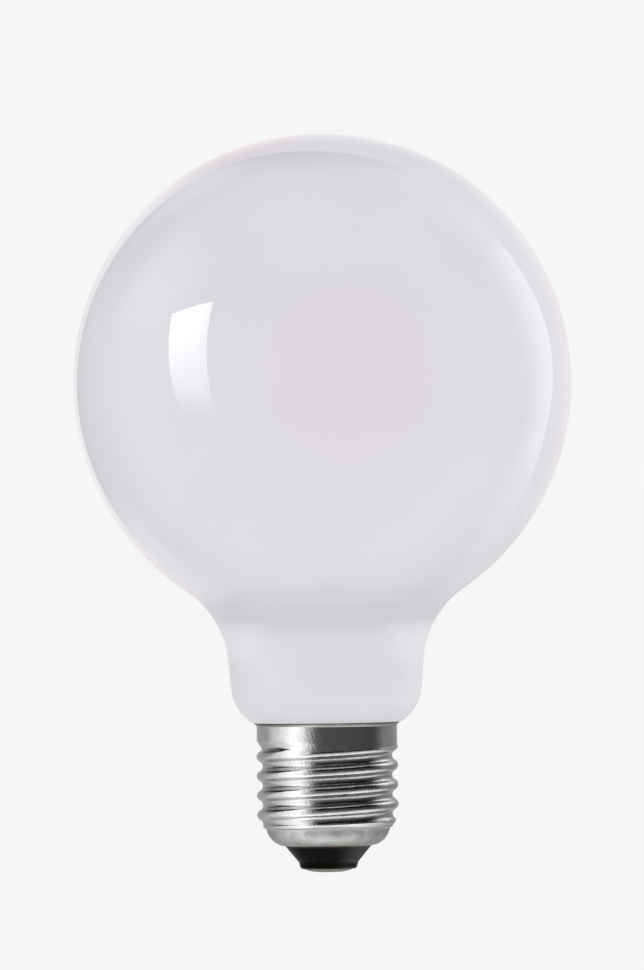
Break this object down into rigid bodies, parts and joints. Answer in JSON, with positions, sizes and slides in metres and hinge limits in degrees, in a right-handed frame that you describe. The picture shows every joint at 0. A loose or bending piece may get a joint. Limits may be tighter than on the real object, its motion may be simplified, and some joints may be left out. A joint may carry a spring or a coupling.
{
  "type": "globe bulb",
  "caption": "Opal white glass globe lamp on a concave neck, with a plated screw shell, a black glass insulator and a centre contact.",
  "frame": {"origin": "tip of the centre contact, on the lamp's axis, where the lamp meets the tongue of its holder", "axes": "+Z along the lamp's axis, from the centre contact to the top of the globe; the first full crest of the right-hand thread stands over +X"},
  "size_m": [0.093, 0.093, 0.1378],
  "materials": {
    "opal_glass": "glossy opal white, not see-through",
    "plated_shell": "bright nickel plate with fine wear",
    "black_glass": "glossy cast black glass",
    "tinned_contact": "dull tinned metal"
  },
  "bodies": {
    "root": {"globe": "opal_glass", "screw_shell": "plated_shell", "insulator": "black_glass", "centre_contact": "tinned_contact"}
  },
  "joints": []
}
